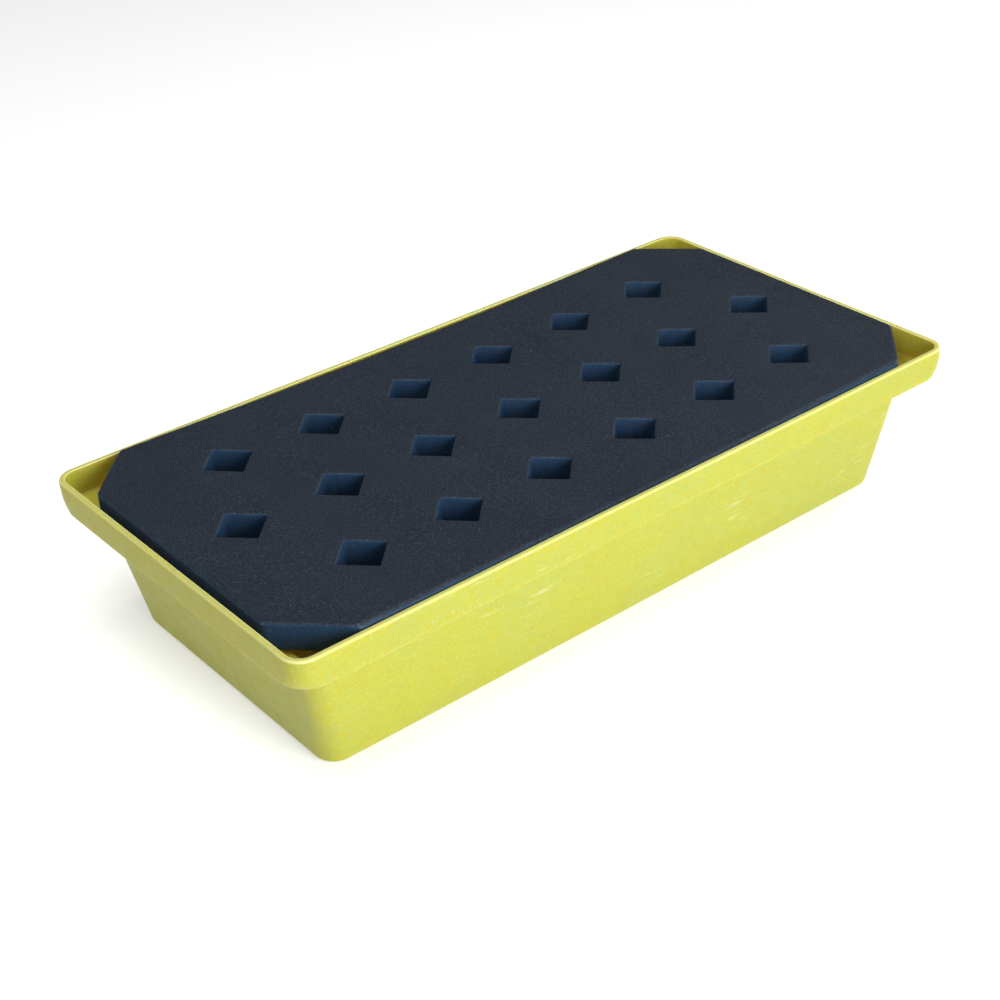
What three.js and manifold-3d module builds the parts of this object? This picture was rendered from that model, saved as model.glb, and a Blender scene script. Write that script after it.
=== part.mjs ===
// Spill containment pallet: a moulded sump tray, the drain grate that lies in its rim,
// and the plug that closes the grate's moulding vent.
// Millimetres, +Z up, +X along the length, origin on the floor under the middle of the tray.
import * as THREE from "three";
import { mergeVertices } from "three/addons/utils/BufferGeometryUtils.js";
import Module from "manifold-3d";

const wasm = await Module();
wasm.setup();

// Sump tray
const LENGTH = 805;
const WIDTH = 405;
const HEIGHT = 160;
const RIM_WALL = 6;
const RIM_CORNER = 21;
const RIM_EDGE = 3;
const RIM_INNER_EDGE = 1.5;
const SEAT_FILLET = 3;
const BAND_HEIGHT = 32.5;
const BAND_DRAFT = 1.2;
const BAND_FOOT_EDGE = 5;
const FOOT_CORNER_GROWTH = 16;
const FOOT_CORNER_HEIGHT = 18;
const LEDGE_THICKNESS = 4.7;
const LEDGE_EDGE = 3;
const STEP_IN = 27;
const BODY_WALL = 4.5;
const BODY_CORNER = 20;
const END_DRAFT = 21;
const SIDE_DRAFT = 17;
const BASE_CORNER = 22;
const BASE_EDGE = 8;
const FLOOR_THICKNESS = 5;
const FLOOR_FILLET = 5;

// Drain grate
const GRATE_THICKNESS = 27.5;
const GRATE_END_PLAY = 7;
const GRATE_SIDE_PLAY = 1.5;
const GRATE_CORNER_CUT = 57.5;
const GRATE_VERTEX_ROUND = 14;
const GRATE_EDGE = 5;
const GRATE_WALL = 4;
const AIR_SPACE_EDGE = 3;
const BOW_HEIGHT = 5.3;
const BOW_FLAT_HALF = 30;
const LONGEST_FACET = 110;
const RESTING_GAP = 0.3;

// Drain holes: squares turned by an eighth of a turn, in rows that are staggered by half a pitch
const HOLE_PITCH = 107;
const HOLE_SIDE = 37.5;
const HOLE_TAPER = 2.5;
const HOLE_CORNER = 1.5;
const HOLE_LIP = 2;
const HOLES_IN_ROW = [6, 7, 6];

// Moulding vent and its plug
const VENT_X = HOLE_PITCH / 2;
const VENT_RADIUS = 6;
const PLUG_HEAD_RADIUS = 9;
const PLUG_HEAD_HEIGHT = 2.4;
const PLUG_SHANK_HEIGHT = 6.5;

const ARC_STEPS = 4;
const HOLE_CORNER_STEPS = 2;
const CORNER_STEPS = 7;
const ROUND_SIDES = 24;

const LEDGE_Z = HEIGHT - BAND_HEIGHT + LEDGE_THICKNESS;
const GRATE_BOTTOM = LEDGE_Z + RESTING_GAP;
const GRATE_TOP = GRATE_BOTTOM + GRATE_THICKNESS;
const GRATE_HALF_LENGTH = LENGTH / 2 - RIM_WALL - GRATE_END_PLAY;
const GRATE_HALF_WIDTH = WIDTH / 2 - RIM_WALL - GRATE_SIDE_PLAY;

// ---- Shared shape helpers ----

// The outline of a convex polygon, anticlockwise, with each corner turned by an arc of one radius.
function roundedOutline(corners, radius, steps) {
  const last = corners.length - 1;
  return corners.flatMap((corner, i) => {
    const back = corners[i === 0 ? last : i - 1].clone().sub(corner).normalize();
    const ahead = corners[i === last ? 0 : i + 1].clone().sub(corner).normalize();
    const half = Math.acos(back.dot(ahead)) / 2;
    const bisector = back.clone().add(ahead).normalize();
    const centre = corner.clone().addScaledVector(bisector, radius / Math.sin(half));
    const tangent = corner.clone().addScaledVector(back, radius / Math.tan(half));
    const spoke = tangent.sub(centre);
    return Array.from({ length: steps + 1 }, (_, k) =>
      spoke.clone().rotateAround(new THREE.Vector2(), ((Math.PI - 2 * half) * k) / steps).add(centre),
    );
  });
}

// Points of a profile along an arc, each an inset from the outer face and a height.
function profileArc(inset, z, radius, fromDegrees, toDegrees) {
  return Array.from({ length: ARC_STEPS + 1 }, (_, k) => {
    const angle = THREE.MathUtils.degToRad(THREE.MathUtils.lerp(fromDegrees, toDegrees, k / ARC_STEPS));
    return { inset: inset + radius * Math.cos(angle), z: z + radius * Math.sin(angle) };
  });
}

// A closed body through rings of points, with a flat cap on the first ring and on the last.
function loft(rings) {
  const count = rings[0].points.length;
  const positions = rings.flatMap((ring) => ring.points.flatMap((p) => [p.x, p.y, ring.z]));
  const index = [];
  for (let ring = 0; ring < rings.length - 1; ring += 1) {
    for (let i = 0; i < count; i += 1) {
      const low = ring * count + i;
      const lowNext = ring * count + ((i + 1) % count);
      index.push(low, lowNext, lowNext + count, low, lowNext + count, low + count);
    }
  }
  const top = (rings.length - 1) * count;
  for (let i = 1; i < count - 1; i += 1) {
    index.push(0, i + 1, i);
    index.push(top, top + i, top + i + 1);
  }
  const geometry = new THREE.BufferGeometry();
  geometry.setAttribute("position", new THREE.Float32BufferAttribute(positions, 3));
  geometry.setIndex(index);
  return geometry;
}

// A closed geometry as a solid that can be cut and joined.
function toSolid(geometry) {
  const bare = geometry.clone();
  bare.deleteAttribute("normal");
  bare.deleteAttribute("uv");
  const merged = mergeVertices(bare, 1e-3);
  return new wasm.Manifold(
    new wasm.Mesh({
      numProp: 3,
      vertProperties: merged.attributes.position.array,
      triVerts: new Uint32Array(merged.index.array),
    }),
  );
}

// A solid as a geometry.
function toGeometry(solid) {
  const made = solid.getMesh();
  const geometry = new THREE.BufferGeometry();
  geometry.setAttribute("position", new THREE.BufferAttribute(made.vertProperties, 3));
  geometry.setIndex(new THREE.BufferAttribute(made.triVerts, 1));
  return geometry;
}

function namedMesh(name, geometry, material) {
  geometry.computeVertexNormals();
  const mesh = new THREE.Mesh(geometry, material);
  mesh.name = name;
  return mesh;
}

// ---- Sump tray ----

function rectangle(halfLength, halfWidth, corner) {
  const corners = [
    new THREE.Vector2(-halfLength, -halfWidth),
    new THREE.Vector2(halfLength, -halfWidth),
    new THREE.Vector2(halfLength, halfWidth),
    new THREE.Vector2(-halfLength, halfWidth),
  ];
  return roundedOutline(corners, corner, CORNER_STEPS);
}

// One level of the tray: inset from the rim's outer face, and drafted in as the body is at its base.
function trayRing({ inset, z }, corner, draft = 0) {
  const halfLength = LENGTH / 2 - inset - draft * END_DRAFT;
  const halfWidth = WIDTH / 2 - inset - draft * SIDE_DRAFT;
  return { points: rectangle(halfLength, halfWidth, corner), z };
}

// The plan radius of the rim's outer corners, which grows toward the foot of its band.
function outerCorner(z) {
  const rise = Math.min((z - (HEIGHT - BAND_HEIGHT)) / FOOT_CORNER_HEIGHT, 1);
  return RIM_CORNER + FOOT_CORNER_GROWTH * (1 - rise) ** 2;
}

// The band's lower outer face, level by level, up to where its corners reach the rim's own radius.
function bandRise() {
  const low = HEIGHT - BAND_HEIGHT + BAND_FOOT_EDGE;
  const high = HEIGHT - RIM_EDGE;
  return Array.from({ length: ARC_STEPS }, (_, k) => {
    const z = low + ((k + 1) * (FOOT_CORNER_HEIGHT - BAND_FOOT_EDGE)) / ARC_STEPS;
    return { inset: (BAND_DRAFT * (high - z)) / (high - low), z };
  });
}

// The skin runs from the base up the outside, over the rim, across the ledge and down to the sump's floor.
function sumpTray() {
  const bandFoot = HEIGHT - BAND_HEIGHT;
  const wallInside = STEP_IN + BODY_WALL;
  const base = profileArc(STEP_IN + BASE_EDGE, BASE_EDGE, BASE_EDGE, -90, -180);
  const foot = profileArc(BAND_DRAFT + BAND_FOOT_EDGE, bandFoot + BAND_FOOT_EDGE, BAND_FOOT_EDGE, -90, -180);
  const rimOutside = profileArc(RIM_EDGE, HEIGHT - RIM_EDGE, RIM_EDGE, 180, 90);
  const rimInside = profileArc(RIM_WALL - RIM_INNER_EDGE, HEIGHT - RIM_INNER_EDGE, RIM_INNER_EDGE, 90, 0);
  const seat = profileArc(RIM_WALL + SEAT_FILLET, LEDGE_Z + SEAT_FILLET, SEAT_FILLET, 180, 270);
  const ledge = profileArc(wallInside - LEDGE_EDGE, LEDGE_Z - LEDGE_EDGE, LEDGE_EDGE, 90, 0);
  const floorZ = FLOOR_THICKNESS + FLOOR_FILLET;
  const floor = profileArc(wallInside + FLOOR_FILLET, floorZ, FLOOR_FILLET, 180, 270);
  return loft([
    ...base.map((p) => trayRing(p, BASE_CORNER + STEP_IN - p.inset, 1)),
    trayRing({ inset: STEP_IN, z: bandFoot }, BODY_CORNER),
    ...foot.map((p) => trayRing(p, outerCorner(p.z) - p.inset)),
    ...bandRise().map((p) => trayRing(p, outerCorner(p.z) - p.inset)),
    ...rimOutside.map((p) => trayRing(p, RIM_CORNER - p.inset)),
    ...rimInside.map((p) => trayRing(p, RIM_CORNER - p.inset)),
    ...seat.map((p) => trayRing(p, RIM_CORNER - p.inset)),
    ...ledge.map((p) => trayRing(p, BODY_CORNER + STEP_IN - p.inset)),
    ...floor.map((p) => trayRing(p, BASE_CORNER + STEP_IN - p.inset, 1)),
  ]);
}

// ---- Drain grate ----

// The grate's outline at an inset: a rectangle with its four corners cut off.
function grateOutline(inset) {
  const x = GRATE_HALF_LENGTH - inset;
  const y = GRATE_HALF_WIDTH - inset;
  const cut = GRATE_CORNER_CUT - inset * (2 - Math.SQRT2);
  const corners = [
    new THREE.Vector2(-x + cut, -y),
    new THREE.Vector2(x - cut, -y),
    new THREE.Vector2(x, -y + cut),
    new THREE.Vector2(x, y - cut),
    new THREE.Vector2(x - cut, y),
    new THREE.Vector2(-x + cut, y),
    new THREE.Vector2(-x, y - cut),
    new THREE.Vector2(-x, -y + cut),
  ];
  return roundedOutline(corners, GRATE_VERTEX_ROUND - inset, ARC_STEPS);
}

// A panel with rounded edges, standing in from the grate's own faces by a wall's thickness.
function panel(wall, edge) {
  const lower = profileArc(wall + edge, GRATE_BOTTOM + wall + edge, edge, -90, -180);
  const upper = profileArc(wall + edge, GRATE_TOP - wall - edge, edge, 180, 90);
  return loft([...lower, ...upper].map((p) => ({ points: grateOutline(p.inset), z: p.z })));
}

// A tapered square post turned by an eighth of a turn, wider by a wall's thickness than a drain hole.
function holePost(x, y, wall, lip) {
  const level = (side, corner, z) => {
    const reach = (side / 2 + wall) * Math.SQRT2;
    const corners = [
      new THREE.Vector2(x - reach, y),
      new THREE.Vector2(x, y - reach),
      new THREE.Vector2(x + reach, y),
      new THREE.Vector2(x, y + reach),
    ];
    return { points: roundedOutline(corners, corner + wall, HOLE_CORNER_STEPS), z };
  };
  const narrow = HOLE_SIDE - 2 * HOLE_TAPER;
  return loft([
    level(narrow + 2 * lip, HOLE_CORNER + lip, GRATE_BOTTOM - 1),
    level(narrow + 2 * lip, HOLE_CORNER + lip, GRATE_BOTTOM),
    level(narrow, HOLE_CORNER, GRATE_BOTTOM + HOLE_LIP),
    level(HOLE_SIDE, HOLE_CORNER, GRATE_TOP - HOLE_LIP),
    level(HOLE_SIDE + 2 * lip, HOLE_CORNER + lip, GRATE_TOP),
    level(HOLE_SIDE + 2 * lip, HOLE_CORNER + lip, GRATE_TOP + 1),
  ]);
}

// The centres of the drain holes, row by row.
function holeCentres() {
  return HOLES_IN_ROW.flatMap((count, row) =>
    Array.from({ length: count }, (_, k) => ({
      x: (k - (count - 1) / 2) * HOLE_PITCH,
      y: (row - (HOLES_IN_ROW.length - 1) / 2) * HOLE_PITCH,
    })),
  );
}

// How far the bowed panel stands above its middle at a distance along the length.
function bow(x) {
  const share = Math.max(Math.abs(x) - BOW_FLAT_HALF, 0) / (GRATE_HALF_LENGTH - BOW_FLAT_HALF);
  return BOW_HEIGHT * (2 * share ** 2 - share ** 4);
}

function ventCutter() {
  const cutter = new THREE.CylinderGeometry(VENT_RADIUS, VENT_RADIUS, 4 * GRATE_WALL, ROUND_SIDES);
  return cutter.rotateX(Math.PI / 2).translate(VENT_X, 0, GRATE_BOTTOM);
}

// A hollow panel: skins and hole walls of one thickness around an air space that opens at the vent.
function grate() {
  const centres = holeCentres();
  let airSpace = toSolid(panel(GRATE_WALL, AIR_SPACE_EDGE));
  let body = toSolid(panel(0, GRATE_EDGE));
  for (const { x, y } of centres) {
    airSpace = airSpace.subtract(toSolid(holePost(x, y, GRATE_WALL, 0)));
    body = body.subtract(toSolid(holePost(x, y, 0, HOLE_LIP)));
  }
  const flat = body.subtract(airSpace).subtract(toSolid(ventCutter()));
  const made = toGeometry(flat.refineToLength(LONGEST_FACET));
  const position = made.getAttribute("position");
  for (let i = 0; i < position.count; i += 1) {
    position.setZ(i, position.getZ(i) + bow(position.getX(i)));
  }
  return made;
}

// ---- Vent plug ----

// A headed push-in plug, lying against the grate's underside with its shank in the vent.
function ventPlug() {
  const shank = VENT_RADIUS - RESTING_GAP;
  const outline = [
    new THREE.Vector2(0, -PLUG_HEAD_HEIGHT),
    new THREE.Vector2(PLUG_HEAD_RADIUS - 1, -PLUG_HEAD_HEIGHT),
    new THREE.Vector2(PLUG_HEAD_RADIUS, 1 - PLUG_HEAD_HEIGHT),
    new THREE.Vector2(PLUG_HEAD_RADIUS, 0),
    new THREE.Vector2(shank, 0),
    new THREE.Vector2(shank, PLUG_SHANK_HEIGHT - 1),
    new THREE.Vector2(shank - 1, PLUG_SHANK_HEIGHT),
    new THREE.Vector2(0, PLUG_SHANK_HEIGHT),
  ];
  const geometry = new THREE.LatheGeometry(outline, ROUND_SIDES);
  return toGeometry(toSolid(geometry.rotateX(Math.PI / 2)));
}

// ---- The assembly ----

const yellowPolyethylene = new THREE.MeshStandardMaterial({
  color: "#d8c62f",
  roughness: 0.5,
  metalness: 0,
});
const blackPolyethylene = new THREE.MeshStandardMaterial({
  color: "#24272c",
  roughness: 0.65,
  metalness: 0,
});
const plugPolyethylene = new THREE.MeshStandardMaterial({
  color: "#1a1b1d",
  roughness: 0.5,
  metalness: 0,
});

const plug = namedMesh("vent_plug", ventPlug(), plugPolyethylene);
plug.position.set(VENT_X, 0, GRATE_BOTTOM - RESTING_GAP);

const pallet = new THREE.Group();
pallet.add(namedMesh("sump_tray", sumpTray(), yellowPolyethylene));
pallet.add(namedMesh("grate", grate(), blackPolyethylene));
pallet.add(plug);

export default pallet;
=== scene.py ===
"""Spill containment pallet: the visual model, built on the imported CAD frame.

A yellow moulded sump tray carries a black drain grate whose hidden underside holds a vent plug.
"""

import math

import bpy
from mathutils import Matrix, Vector, geometry, noise


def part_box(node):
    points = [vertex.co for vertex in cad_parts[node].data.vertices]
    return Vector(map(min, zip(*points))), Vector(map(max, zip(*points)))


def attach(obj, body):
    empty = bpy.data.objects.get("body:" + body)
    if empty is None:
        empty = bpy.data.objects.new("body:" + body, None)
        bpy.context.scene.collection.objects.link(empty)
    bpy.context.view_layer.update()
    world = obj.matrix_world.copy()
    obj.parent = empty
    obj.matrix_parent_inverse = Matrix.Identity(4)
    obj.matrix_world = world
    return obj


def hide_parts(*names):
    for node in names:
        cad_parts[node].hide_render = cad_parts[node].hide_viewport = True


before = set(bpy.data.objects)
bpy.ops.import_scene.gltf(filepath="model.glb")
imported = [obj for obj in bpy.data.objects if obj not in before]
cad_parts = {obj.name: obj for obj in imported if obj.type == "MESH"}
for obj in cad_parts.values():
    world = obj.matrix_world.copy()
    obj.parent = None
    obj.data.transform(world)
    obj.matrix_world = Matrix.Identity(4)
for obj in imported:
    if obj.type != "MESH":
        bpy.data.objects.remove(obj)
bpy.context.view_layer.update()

TRAY_LOW, TRAY_HIGH = (Vector(corner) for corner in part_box("sump_tray"))
GRATE_LOW, GRATE_HIGH = (Vector(corner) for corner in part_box("grate"))
PLUG_LOW, PLUG_HIGH = (Vector(corner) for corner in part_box("vent_plug"))
MM = 0.001

# The moulding's unevenness is noise, which takes its offsets from the clock unless it has a seed
WAVER_SEED = 7
noise.seed_set(WAVER_SEED)

# Sump tray
HALF_LENGTH = TRAY_HIGH.x
HALF_WIDTH = TRAY_HIGH.y
RIM_TOP = TRAY_HIGH.z
RIM_WALL = 6 * MM
RIM_CORNER = 21 * MM
RIM_EDGE = 2.4 * MM
RIM_INNER_EDGE = 1.2 * MM
SEAT_FILLET = 3 * MM
BAND_FOOT = RIM_TOP - 32.5 * MM
BAND_DRAFT = 1.2 * MM
BAND_FOOT_EDGE = 2.5 * MM
FOOT_CORNER_GROWTH = 12 * MM
FOOT_CORNER_HEIGHT = 18 * MM
LEDGE_TOP = BAND_FOOT + 4.7 * MM
LEDGE_EDGE = 3 * MM
STEP_IN = 27 * MM
STEP_FILLET = 1.5 * MM
BODY_WALL = 4.5 * MM
BODY_CORNER = 20 * MM
END_DRAFT = 21 * MM
SIDE_DRAFT = 17 * MM
BASE_CORNER = 22 * MM
BASE_EDGE = 8 * MM
FLOOR_TOP = 5 * MM
FLOOR_FILLET = 5 * MM
TRAY_WAVER = 0.5 * MM
TRAY_WAVER_REACH = 160 * MM
LONG_SIDE_PARTS = 40
SHORT_SIDE_PARTS = 20

# Drain grate
GRATE_HALF_LENGTH = GRATE_HIGH.x
GRATE_HALF_WIDTH = GRATE_HIGH.y
GRATE_BOTTOM = GRATE_LOW.z
GRATE_TOP = GRATE_BOTTOM + 27.5 * MM
LONG_SIDE_EDGE = 5.5 * MM
SHORT_END_EDGE = 3.8 * MM
CORNER_CUT_EDGE = 2.6 * MM
EDGE_NICK = 0.22 * MM
EDGE_NICK_REACH = 4 * MM
FLAT_BORDER = 2.5 * MM
CORNER_CUT = 57.5 * MM
VERTEX_ROUND = 12 * MM
BOW_HEIGHT = GRATE_HIGH.z - GRATE_TOP
BOW_FLAT_HALF = 30 * MM
CORNER_DROOP = 2.5 * MM
HOLE_PITCH = 107 * MM
HOLES_IN_ROW = (6, 7, 6)
HOLE_SIDE = 37.8 * MM
HOLE_TAPER = 2.5 * MM
HOLE_CORNER = 1.0 * MM
HOLE_LIP = 2.2 * MM
CAP_SPACING = 13 * MM
GRATE_WAVER = 0.25 * MM
GRATE_WAVER_REACH = 120 * MM
GRATE_SIDE_PARTS = (90, 24, 84, 24)

# Camera, at the photograph's viewing angle
CAMERA_AZIMUTH = math.radians(-38.24)
CAMERA_ELEVATION = math.radians(31.58)
CAMERA_ROLL = math.radians(-2.67)
CAMERA_DISTANCE = 1.7698
CAMERA_TARGET = Vector((-0.0431, -0.0170, 0.080))
CAMERA_LENS = 64.96


# ---- Outlines and skins ----

def along(start, end, parts):
    """Points from start up to, but not including, end."""
    return [start.lerp(end, k / parts) for k in range(parts)]


def rounded_outline(corners, radius, corner_steps, spacing):
    """A convex polygon's outline, anticlockwise, with rounded corners and evenly divided sides.

    spacing is a function of the side's number that gives its number of parts, so that outlines
    of different sizes have the same number of points.
    """
    arcs = []
    for number, corner in enumerate(corners):
        back = (corners[number - 1] - corner).normalized()
        ahead = (corners[(number + 1) % len(corners)] - corner).normalized()
        half = back.angle(ahead) / 2
        centre = corner + (back + ahead).normalized() * (radius / math.sin(half))
        spoke = corner + back * (radius / math.tan(half)) - centre
        sweep = math.pi - 2 * half
        turns = [Matrix.Rotation(sweep * k / corner_steps, 2) for k in range(corner_steps + 1)]
        arcs.append([centre + turn @ spoke for turn in turns])
    points = []
    for number, arc in enumerate(arcs):
        points += arc[:-1]
        points += along(arc[-1], arcs[(number + 1) % len(arcs)][0], spacing(number))
    return points


def profile_arc(inset, height, radius, start, end, steps):
    """Points (inset, height) along an arc of a section, with angles in degrees."""
    angles = [math.radians(start + (end - start) * k / steps) for k in range(steps + 1)]
    return [(inset + radius * math.cos(a), height + radius * math.sin(a)) for a in angles]


class Skin:
    """A mesh under construction, made of rings of points joined by bands of quads."""

    def __init__(self):
        self.points = []
        self.faces = []

    def ring(self, outline, height):
        """A ring of points, at one height or at a height for each point."""
        heights = height if isinstance(height, list) else [height] * len(outline)
        first = len(self.points)
        self.points += [Vector((p.x, p.y, z)) for p, z in zip(outline, heights)]
        return list(range(first, len(self.points)))

    def band(self, low, high):
        for k, start in enumerate(low):
            after = (k + 1) % len(low)
            self.faces.append((start, low[after], high[after], high[k]))

    def stack(self, levels):
        """Rings of (outline, height) from first to last, each joined to the next."""
        rings = [self.ring(outline, height) for outline, height in levels]
        for low, high in zip(rings, rings[1:]):
            self.band(low, high)
        return rings

    def to_object(self, name):
        mesh = bpy.data.meshes.new(name)
        mesh.from_pydata([tuple(p) for p in self.points], [], self.faces)
        mesh.validate()
        mesh.shade_smooth()
        made = bpy.data.objects.new(name, mesh)
        bpy.context.scene.collection.objects.link(made)
        return made


# ---- Sump tray ----

def tray_outline(inset, corner, draft):
    x = HALF_LENGTH - inset - draft * END_DRAFT
    y = HALF_WIDTH - inset - draft * SIDE_DRAFT
    corners = [Vector((-x, -y)), Vector((x, -y)), Vector((x, y)), Vector((-x, y))]
    parts = (LONG_SIDE_PARTS, SHORT_SIDE_PARTS)
    return rounded_outline(corners, corner, 12, lambda side: parts[side % 2])


def body_level(inset, height, draft):
    corner = BODY_CORNER + (BASE_CORNER - BODY_CORNER) * draft + STEP_IN - inset
    return tray_outline(inset, corner, draft), height


def rim_level(inset, height):
    return tray_outline(inset, RIM_CORNER - inset, 0), height


def band_level(inset, height):
    """A level of the band's outer face, whose corners grow softer toward its foot."""
    rise = min((height - BAND_FOOT) / FOOT_CORNER_HEIGHT, 1)
    corner = RIM_CORNER + FOOT_CORNER_GROWTH * (1 - rise) ** 2
    return tray_outline(inset, corner - inset, 0), height


def tray_levels():
    """The skin's levels, from the base up the outside, over the rim and down to the sump's floor."""
    step_height = BAND_FOOT - STEP_FILLET
    wall_inside = STEP_IN + BODY_WALL
    levels = []
    for inset, height in profile_arc(STEP_IN + BASE_EDGE, BASE_EDGE, BASE_EDGE, -90, -180, 7):
        levels.append(body_level(inset, height, 1))
    for k in range(1, 8):
        height = BASE_EDGE + (step_height - BASE_EDGE) * k / 8
        levels.append(body_level(STEP_IN, height, 1 - k / 8))
    for inset, height in profile_arc(STEP_IN - STEP_FILLET, step_height, STEP_FILLET, 0, 90, 3):
        levels.append(body_level(inset, height, 0))
    foot_inset = BAND_DRAFT + BAND_FOOT_EDGE
    band_low = BAND_FOOT + BAND_FOOT_EDGE
    for inset, height in profile_arc(foot_inset, band_low, BAND_FOOT_EDGE, -90, -180, 7):
        levels.append(band_level(inset, height))
    band_high = RIM_TOP - RIM_EDGE
    for k in range(1, 6):
        rise = (FOOT_CORNER_HEIGHT - BAND_FOOT_EDGE) * k / 5
        levels.append(band_level(BAND_DRAFT * (1 - rise / (band_high - band_low)), band_low + rise))
    for inset, height in profile_arc(RIM_EDGE, RIM_TOP - RIM_EDGE, RIM_EDGE, 180, 90, 6):
        levels.append(rim_level(inset, height))
    inner_edge = (RIM_WALL - RIM_INNER_EDGE, RIM_TOP - RIM_INNER_EDGE, RIM_INNER_EDGE)
    for inset, height in profile_arc(*inner_edge, 90, 0, 4):
        levels.append(rim_level(inset, height))
    seat = (RIM_WALL + SEAT_FILLET, LEDGE_TOP + SEAT_FILLET, SEAT_FILLET)
    for inset, height in profile_arc(*seat, 180, 270, 4):
        levels.append(rim_level(inset, height))
    ledge_edge = (wall_inside - LEDGE_EDGE, LEDGE_TOP - LEDGE_EDGE, LEDGE_EDGE)
    for inset, height in profile_arc(*ledge_edge, 90, 0, 5):
        levels.append(body_level(inset, height, 0))
    floor_start = FLOOR_TOP + FLOOR_FILLET
    for inset, height in profile_arc(wall_inside + FLOOR_FILLET, floor_start, FLOOR_FILLET, 180, 270, 5):
        levels.append(body_level(inset, height, 1))
    return levels


def waver(point, size, reach):
    """A small smooth push, for the unevenness of a moulding."""
    return noise.noise_vector(point / reach) * size


def make_tray():
    skin = Skin()
    rings = skin.stack(tray_levels())
    skin.faces.append(tuple(reversed(rings[0])))
    skin.faces.append(tuple(rings[-1]))
    for point in skin.points:
        push = waver(point, TRAY_WAVER, TRAY_WAVER_REACH)
        push.z *= min(point.z / BAND_FOOT, 1)
        point += push
    return skin.to_object("moulded_sump_tray")


# ---- Drain grate ----

def grate_outline(inset):
    """A rectangle with its four corners cut off, set in from the grate's own faces."""
    x = GRATE_HALF_LENGTH - inset
    y = GRATE_HALF_WIDTH - inset
    cut = CORNER_CUT - inset * (2 - math.sqrt(2))
    corners = [
        Vector((-x + cut, -y)),
        Vector((x - cut, -y)),
        Vector((x, -y + cut)),
        Vector((x, y - cut)),
        Vector((x - cut, y)),
        Vector((-x + cut, y)),
        Vector((-x, y - cut)),
        Vector((-x, -y + cut)),
    ]
    return rounded_outline(corners, VERTEX_ROUND - inset, 5, lambda side: GRATE_SIDE_PARTS[side % 4])


def edge_radius(inward):
    """The rounding of the grate's edge, by the way the side faces: softest along the long sides."""
    long_side = inward.y ** 8
    short_end = inward.x ** 8
    cut = 1 - long_side - short_end
    return long_side * LONG_SIDE_EDGE + short_end * SHORT_END_EDGE + cut * CORNER_CUT_EDGE


def grate_edge_levels():
    """The grate's side from its underside up to its top face, with a rounded edge at each."""
    outer = grate_outline(0)
    inner = grate_outline(MM)
    inwards = [(there - here).normalized() for here, there in zip(outer, inner)]
    radii = [edge_radius(inward) for inward in inwards]
    flat = [here + inward * (r + FLAT_BORDER) for here, inward, r in zip(outer, inwards, radii)]
    levels = [(flat, GRATE_BOTTOM)]
    for face, start, end in ((GRATE_BOTTOM, -90, 0), (GRATE_TOP, 0, 90)):
        middle = 1 if face == GRATE_BOTTOM else -1
        for step in range(7):
            angle = math.radians(start + (end - start) * step / 6)
            reach = [radius * (1 - math.cos(angle)) for radius in radii]
            outline = [here + inward * r for here, inward, r in zip(outer, inwards, reach)]
            heights = [face + radius * (middle + math.sin(angle)) for radius in radii]
            levels.append((outline, heights))
    levels.append((flat, GRATE_TOP))
    return levels


def hole_outline(centre, side, corner):
    """A drain hole's outline: a square turned by an eighth of a turn."""
    reach = side / math.sqrt(2)
    steps = [Vector((-reach, 0)), Vector((0, -reach)), Vector((reach, 0)), Vector((0, reach))]
    return rounded_outline([centre + step for step in steps], corner, 5, lambda number: 5)


def hole_centres():
    """The staggered rows of drain holes."""
    centres = []
    for row, count in enumerate(HOLES_IN_ROW):
        y = (row - (len(HOLES_IN_ROW) - 1) / 2) * HOLE_PITCH
        centres += [Vector(((k - (count - 1) / 2) * HOLE_PITCH, y)) for k in range(count)]
    return centres


def hole_levels(centre):
    """A drain hole's levels from the top face down: rounded lip, tapered wall, rounded foot."""
    narrow = HOLE_SIDE - 2 * HOLE_TAPER
    levels = []
    for out, height in profile_arc(HOLE_LIP, GRATE_TOP - HOLE_LIP, HOLE_LIP, 90, 180, 5):
        levels.append((hole_outline(centre, HOLE_SIDE + 2 * out, HOLE_CORNER + out), height))
    for out, height in profile_arc(HOLE_LIP, GRATE_BOTTOM + HOLE_LIP, HOLE_LIP, 180, 270, 5):
        levels.append((hole_outline(centre, narrow + 2 * out, HOLE_CORNER + out), height))
    return levels


def fill_points():
    """Evenly spread points inside a cap, clear of its edge and its holes."""
    keep_out = HOLE_SIDE / math.sqrt(2) + HOLE_LIP + CAP_SPACING
    centres = hole_centres()
    found = []
    columns = int(GRATE_HALF_LENGTH / CAP_SPACING)
    rows = int(GRATE_HALF_WIDTH / CAP_SPACING)
    edge = LONG_SIDE_EDGE + FLAT_BORDER + CAP_SPACING / 2
    diagonal = GRATE_HALF_LENGTH + GRATE_HALF_WIDTH - CORNER_CUT - 2 * edge
    for column in range(-columns, columns + 1):
        for row in range(-rows, rows + 1):
            point = Vector(((column + row % 2 / 2) * CAP_SPACING, row * CAP_SPACING))
            inside = abs(point.x) < GRATE_HALF_LENGTH - edge and abs(point.y) < GRATE_HALF_WIDTH - edge
            clear = all(abs(point.x - c.x) + abs(point.y - c.y) > keep_out for c in centres)
            if inside and clear and abs(point.x) + abs(point.y) < diagonal:
                found.append(point)
    return found


CDT_INSIDE = 1
CDT_TOLERANCE = 1e-7


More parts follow.
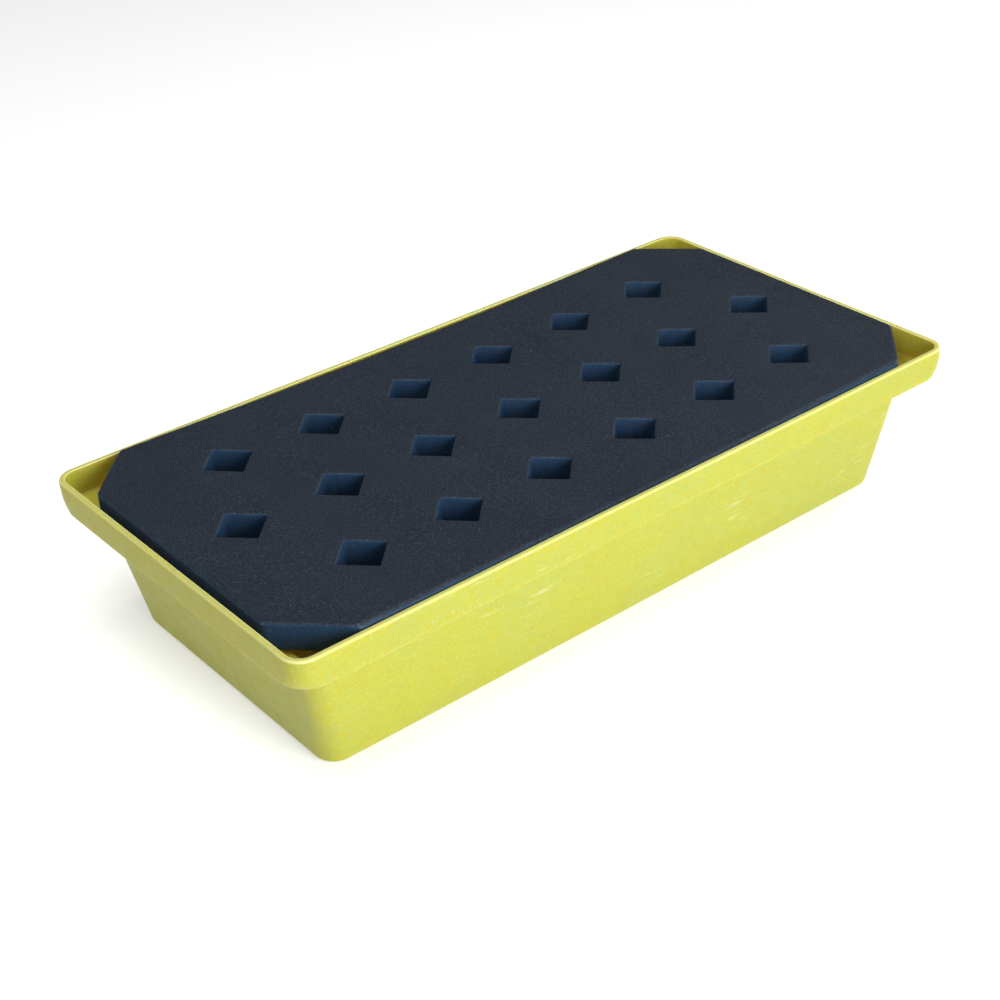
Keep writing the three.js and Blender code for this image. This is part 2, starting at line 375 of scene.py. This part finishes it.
def cap(skin, edge, holes, height, facing_up):
    """A flat face bounded by the edge ring and pierced by the hole rings.

    Only faces inside the borders are made: the sides' points are not quite in line, and faces
    outside them would be slivers that spoil the shading.
    """
    extra = skin.ring(fill_points(), height)
    used = edge + [i for ring in holes for i in ring] + extra
    flat = [skin.points[i].xy for i in used]
    numbers = {i: k for k, i in enumerate(used)}
    borders = []
    hole_of = {}
    for number, ring in enumerate([edge] + holes):
        borders += [(numbers[a], numbers[b]) for a, b in zip(ring, ring[1:] + ring[:1])]
        if number:
            hole_of.update({i: number for i in ring})
    found, _, faces, origins, _, _ = geometry.delaunay_2d_cdt(flat, borders, [], CDT_INSIDE, CDT_TOLERANCE)
    for face in faces:
        corners = [used[origins[k][0]] for k in face]
        owners = {hole_of.get(i) for i in corners}
        if len(owners) == 1 and None not in owners:
            continue
        skin.faces.append(tuple(corners if facing_up else reversed(corners)))


def bow(point):
    """How far the bowed panel stands above its middle."""
    share = max(abs(point.x) - BOW_FLAT_HALF, 0) / (GRATE_HALF_LENGTH - BOW_FLAT_HALF)
    return BOW_HEIGHT * (2 * share ** 2 - share ** 4)


def droop(point):
    """How far the corner nearest the viewer sags below the rest of the bowed panel."""
    toward_end = max(-point.x / GRATE_HALF_LENGTH, 0)
    toward_side = (1 - point.y / GRATE_HALF_WIDTH) / 2
    return CORNER_DROOP * toward_end ** 3 * toward_side


def make_grate():
    skin = Skin()
    edges = skin.stack(grate_edge_levels())
    for ring in edges[2:-2]:
        for number in ring:
            skin.points[number] += waver(skin.points[number], EDGE_NICK, EDGE_NICK_REACH)
    holes = [skin.stack(hole_levels(centre)) for centre in hole_centres()]
    cap(skin, edges[-1], [rings[0] for rings in holes], GRATE_TOP, facing_up=True)
    cap(skin, edges[0], [rings[-1] for rings in holes], GRATE_BOTTOM, facing_up=False)
    for point in skin.points:
        push = waver(point, GRATE_WAVER, GRATE_WAVER_REACH)
        point.z += bow(point) - droop(point)
        point += push
    return skin.to_object("moulded_grate")


# ---- Vent plug ----

SHANK_SHARE = 0.62

def make_plug():
    """A round push-in plug with a dished head and a ribbed shank."""
    centre = Vector(((PLUG_LOW.x + PLUG_HIGH.x) / 2, (PLUG_LOW.y + PLUG_HIGH.y) / 2))
    head = (PLUG_HIGH.x - PLUG_LOW.x) / 2
    shank = head * SHANK_SHARE
    foot = PLUG_LOW.z
    head_top = foot + 2.4 * MM
    tip = PLUG_HIGH.z
    section = [
        (0.3 * MM, foot + 0.9 * MM),
        (head * 0.45, foot + 0.8 * MM),
        (head * 0.55, foot + 0.1 * MM),
        (head - 1.2 * MM, foot),
        (head - 0.4 * MM, foot + 0.3 * MM),
        (head, foot + 1.0 * MM),
        (head - 0.1 * MM, head_top - 0.2 * MM),
        (head - 0.4 * MM, head_top),
        (shank, head_top),
        (shank, tip - 3 * MM),
        (shank + 0.3 * MM, tip - 2.4 * MM),
        (shank, tip - 1.6 * MM),
        (shank - 1.2 * MM, tip),
        (0.3 * MM, tip),
    ]
    levels = []
    for radius, height in section:
        angles = [math.tau * k / 40 for k in range(40)]
        levels.append(([centre + Vector((math.cos(a), math.sin(a))) * radius for a in angles], height))
    skin = Skin()
    rings = skin.stack(levels)
    skin.faces.append(tuple(reversed(rings[0])))
    skin.faces.append(tuple(rings[-1]))
    return skin.to_object("moulded_vent_plug")


# ---- Materials ----

class Shader:
    """A material's nodes, with one short method for each kind that is used here."""

    def __init__(self, name):
        self.material = bpy.data.materials.new(name)
        self.material.use_nodes = True
        self.tree = self.material.node_tree
        self.surface = self.tree.nodes["Principled BSDF"]
        coordinates = self.add("ShaderNodeTexCoord")
        self.place = coordinates.outputs["Object"]
        self.facing = coordinates.outputs["Normal"]

    def add(self, kind, **settings):
        node = self.tree.nodes.new(kind)
        for key, value in settings.items():
            setattr(node, key, value)
        return node

    def put(self, socket, value):
        """A link if the value is another node's output, and otherwise a constant."""
        if isinstance(value, bpy.types.NodeSocket):
            self.tree.links.new(value, socket)
        else:
            socket.default_value = value

    def stretched(self, scale, turn=(0, 0, 0)):
        node = self.add("ShaderNodeMapping")
        self.put(node.inputs["Vector"], self.place)
        node.inputs["Scale"].default_value = scale
        node.inputs["Rotation"].default_value = turn
        return node.outputs["Vector"]

    def noise(self, scale, detail=3, roughness=0.55, place=None):
        node = self.add("ShaderNodeTexNoise")
        self.put(node.inputs["Vector"], place or self.place)
        node.inputs["Scale"].default_value = scale
        node.inputs["Detail"].default_value = detail
        node.inputs["Roughness"].default_value = roughness
        return node.outputs["Fac"]

    def span(self, value, low, high, to_low=0.0, to_high=1.0):
        """The value from low to high, carried to a new span and held at its ends."""
        node = self.add("ShaderNodeMapRange", interpolation_type="SMOOTHSTEP")
        self.put(node.inputs["Value"], value)
        settings = {"From Min": low, "From Max": high, "To Min": to_low, "To Max": to_high}
        for key, number in settings.items():
            node.inputs[key].default_value = number
        return node.outputs["Result"]

    def math(self, operation, first, second=0.0):
        node = self.add("ShaderNodeMath", operation=operation)
        self.put(node.inputs[0], first)
        self.put(node.inputs[1], second)
        return node.outputs["Value"]

    def mix(self, share, first, second, blend="MIX"):
        node = self.add("ShaderNodeMix", data_type="RGBA", blend_type=blend)
        self.put(node.inputs["Factor"], share)
        self.put(node.inputs[6], first)
        self.put(node.inputs[7], second)
        return node.outputs[2]

    def upward(self, low, high):
        """Strong on faces that look up."""
        split = self.add("ShaderNodeSeparateXYZ")
        self.put(split.inputs["Vector"], self.facing)
        return self.span(split.outputs["Z"], low, high)

    def steep(self, low, high):
        """Strong on upright faces and weak on level ones."""
        level = self.math("MAXIMUM", self.upward(low, high), self.upward(-low, -high))
        return self.math("SUBTRACT", 1.0, level)

    def edges(self, low, high):
        """Strong on outward edges, for edge wear and for painted highlights along them."""
        return self.span(self.add("ShaderNodeNewGeometry").outputs["Pointiness"], low, high)

    def bump(self, height, distance, strength=1.0, under=None):
        node = self.add("ShaderNodeBump")
        self.put(node.inputs["Height"], height)
        node.inputs["Distance"].default_value = distance
        node.inputs["Strength"].default_value = strength
        if under:
            self.put(node.inputs["Normal"], under)
        return node.outputs["Normal"]

    def finish(self, colour, roughness, normal, **constants):
        self.put(self.surface.inputs["Base Color"], colour)
        self.put(self.surface.inputs["Roughness"], roughness)
        self.put(self.surface.inputs["Normal"], normal)
        for key, value in constants.items():
            self.surface.inputs[key.replace("_", " ")].default_value = value
        return self.material


def yellow_polyethylene():
    """Waxy, slightly translucent yellow plastic, mottled where the powder fused, with pale scuffs and a
    painted highlight on its upper edges.
    """
    shader = Shader("yellow_polyethylene")
    clouds = shader.span(shader.noise(11, 2), 0.35, 0.65)
    mottle = shader.span(shader.noise(220, 3, 0.65), 0.47, 0.63)
    flecks = shader.span(shader.noise(480, 2, 0.6), 0.52, 0.68)
    grain = shader.noise(900, 2)
    colour = shader.mix(clouds, (0.345, 0.340, 0.030, 1), (0.325, 0.340, 0.045, 1))
    colour = shader.mix(shader.math("MULTIPLY", mottle, 0.75), colour, (0.385, 0.330, 0.006, 1))
    colour = shader.mix(shader.math("MULTIPLY", flecks, 0.45), colour, (0.41, 0.43, 0.13, 1))
    scratches = shader.noise(1.0, 4, 0.6, shader.stretched((26, 26, 260), (0.5, 0.35, 0.2)))
    patches = shader.span(shader.noise(9, 2), 0.52, 0.66)
    scuff = shader.math("MULTIPLY", shader.span(scratches, 0.58, 0.70), patches)
    colour = shader.mix(shader.math("MULTIPLY", scuff, 0.45), colour, (0.52, 0.53, 0.26, 1))
    # Painted highlight: convex edges that face upward, above all the rim top, are painted pale, as if light
    # caught them.
    edge_wear_and_painted_highlight = shader.math("MULTIPLY", shader.edges(0.505, 0.535), shader.upward(0.0, 0.6))
    colour = shader.mix(shader.math("MULTIPLY", edge_wear_and_painted_highlight, 0.65), colour, (0.62, 0.64, 0.38, 1))
    roughness = shader.span(shader.noise(60, 3), 0.3, 0.7, 0.44, 0.58)
    roughness = shader.math("ADD", roughness, shader.math("MULTIPLY", scuff, 0.15))
    normal = shader.bump(shader.noise(24, 2), 0.4 * MM, 0.35)
    normal = shader.bump(grain, 0.08 * MM, 0.6, normal)
    return shader.finish(
        colour,
        roughness,
        normal,
        Subsurface_Weight=0.7,
        Subsurface_Scale=0.016,
        Subsurface_Radius=(1.0, 0.6, 0.08),
        IOR=1.5,
        Specular_IOR_Level=0.4,
    )


def black_polyethylene():
    """Black plastic: level faces are matte with a dusty grain, upright ones are a little smoother and carry
    a painted blue light, and edges a painted highlight.
    """
    shader = Shader("black_polyethylene")
    grain = shader.noise(620, 3, 0.8)
    clouds = shader.span(shader.noise(14, 3), 0.3, 0.7)
    colour = shader.mix(clouds, (0.005, 0.009, 0.017, 1), (0.007, 0.012, 0.021, 1))
    colour = shader.mix(shader.span(grain, 0.50, 0.68), colour, (0.030, 0.040, 0.057, 1))
    # Painted blue light: upright faces (hole walls, edge roundings, corner cuts) are painted bluer, as if a
    # blue lamp lit them from the front; the same mask also makes them a little smoother.
    steep = shader.steep(0.35, 0.96)
    upright = shader.mix(shader.span(grain, 0.4, 0.7), (0.010, 0.027, 0.058, 1), (0.018, 0.042, 0.085, 1))
    colour = shader.mix(steep, colour, upright)
    specks = shader.math("MULTIPLY", shader.span(shader.noise(420, 1), 0.79, 0.83), 0.4)
    colour = shader.mix(specks, colour, (0.22, 0.27, 0.34, 1))
    # Painted highlight along the rounded edges, pale bluish and broken up by noise, with some edge wear
    # mixed in.
    edge_wear_and_painted_highlight = shader.math("MULTIPLY", shader.edges(0.515, 0.56), shader.span(shader.noise(200, 3), 0.38, 0.60))
    colour = shader.mix(shader.math("MULTIPLY", edge_wear_and_painted_highlight, 0.65), colour, (0.12, 0.17, 0.22, 1))
    roughness = shader.span(shader.noise(90, 3), 0.3, 0.7, 0.50, 0.64)
    roughness = shader.math("SUBTRACT", roughness, shader.math("MULTIPLY", steep, 0.12))
    normal = shader.bump(shader.noise(30, 2), 0.3 * MM, 0.3)
    normal = shader.bump(grain, 0.30 * MM, 0.8, normal)
    return shader.finish(colour, roughness, normal, IOR=1.5, Specular_IOR_Level=0.18)


def plug_polyethylene():
    """Smoother black plastic with faint flow marks."""
    shader = Shader("plug_polyethylene")
    flow = shader.noise(220, 3)
    colour = shader.mix(shader.span(flow, 0.3, 0.7), (0.012, 0.012, 0.014, 1), (0.022, 0.023, 0.026, 1))
    edge_wear_and_painted_highlight = shader.math("MULTIPLY", shader.edges(0.53, 0.62), 0.4)
    colour = shader.mix(edge_wear_and_painted_highlight, colour, (0.08, 0.085, 0.09, 1))
    roughness = shader.span(flow, 0.3, 0.7, 0.34, 0.50)
    normal = shader.bump(shader.noise(700, 2), 0.05 * MM, 0.6)
    return shader.finish(colour, roughness, normal, IOR=1.5)


def floor_material():
    """A plain pale studio floor that glows a little, so that it stays near white."""
    shader = Shader("studio_floor")
    colour = shader.mix(shader.noise(3, 1), (0.65, 0.65, 0.65, 1), (0.67, 0.67, 0.67, 1))
    shader.surface.inputs["Emission Color"].default_value = (1, 1, 1, 1)
    shader.surface.inputs["Emission Strength"].default_value = FLOOR_GLOW
    return shader.finish(colour, 0.9, shader.bump(shader.noise(200, 1), 0.01 * MM, 0.1))


# ---- Studio ----

FLOOR_GLOW = 0.44
FLOOR_REACH = 8.0
FLOOR_GAP = 0.3 * MM
WORLD_COLOUR = (0.97, 0.99, 1.0, 1)
WORLD_STRENGTH = 0.34
LIGHT_DISTANCE = 2.6
LIGHT_SIZE = (1.6, 1.2)
LIGHTS = (
    ("front", -4, 20, 82, (0.94, 1.0, 1.0)),
    ("high_left", -90, 72, 34, (1.0, 0.98, 0.94)),
    ("high_right", 80, 50, 26, (1.0, 0.98, 0.94)),
)


def make_floor():
    mesh = bpy.data.meshes.new("studio_floor")
    reach = FLOOR_REACH
    corners = [(-reach, -reach, 0), (reach, -reach, 0), (reach, reach, 0), (-reach, reach, 0)]
    mesh.from_pydata(corners, [], [(0, 1, 2, 3)])
    mesh.materials.append(floor_material())
    floor = bpy.data.objects.new("studio_floor", mesh)
    bpy.context.scene.collection.objects.link(floor)
    floor.location.z = -FLOOR_GAP


def make_world():
    world = bpy.data.worlds.new("studio")
    world.use_nodes = True
    background = world.node_tree.nodes["Background"]
    background.inputs["Color"].default_value = WORLD_COLOUR
    background.inputs["Strength"].default_value = WORLD_STRENGTH
    bpy.context.scene.world = world


def make_light(name, azimuth, elevation, power, colour):
    """A soft light that faces the object, at azimuth 0 before the long side and at 90 off the +X end."""
    data = bpy.data.lights.new(name, "AREA")
    data.shape = "RECTANGLE"
    data.size, data.size_y = LIGHT_SIZE
    data.energy = power
    data.color = colour
    light = bpy.data.objects.new(name, data)
    bpy.context.scene.collection.objects.link(light)
    turn, rise = math.radians(azimuth), math.radians(elevation)
    away = Vector((math.sin(turn) * math.cos(rise), -math.cos(turn) * math.cos(rise), math.sin(rise)))
    light.location = away * LIGHT_DISTANCE
    light.rotation_euler = away.to_track_quat("Z", "Y").to_euler()


def make_camera():
    back = Vector((
        math.sin(CAMERA_AZIMUTH) * math.cos(CAMERA_ELEVATION),
        -math.cos(CAMERA_AZIMUTH) * math.cos(CAMERA_ELEVATION),
        math.sin(CAMERA_ELEVATION),
    ))
    right = Vector((math.cos(CAMERA_AZIMUTH), math.sin(CAMERA_AZIMUTH), 0))
    up = back.cross(right)
    level = Matrix((right, up, back)).transposed()
    data = bpy.data.cameras.new("camera")
    data.lens = CAMERA_LENS
    data.sensor_width = 36
    data.clip_end = 50
    camera = bpy.data.objects.new("camera", data)
    bpy.context.scene.collection.objects.link(camera)
    camera.matrix_world = (
        Matrix.Translation(CAMERA_TARGET + back * CAMERA_DISTANCE)
        @ (level @ Matrix.Rotation(CAMERA_ROLL, 3, "Z")).to_4x4()
    )
    bpy.context.scene.camera = camera


# ---- The assembly ----

def add_piece(piece, material, body, node):
    piece.data.materials.append(material)
    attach(piece, body)
    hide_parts(node)


add_piece(make_tray(), yellow_polyethylene(), "tray", "sump_tray")
add_piece(make_grate(), black_polyethylene(), "grate", "grate")
add_piece(make_plug(), plug_polyethylene(), "grate", "vent_plug")

make_camera()
make_floor()
make_world()
for name, azimuth, elevation, power, colour in LIGHTS:
    make_light(name, azimuth, elevation, power, colour)
bpy.context.scene.view_settings.view_transform = "Standard"
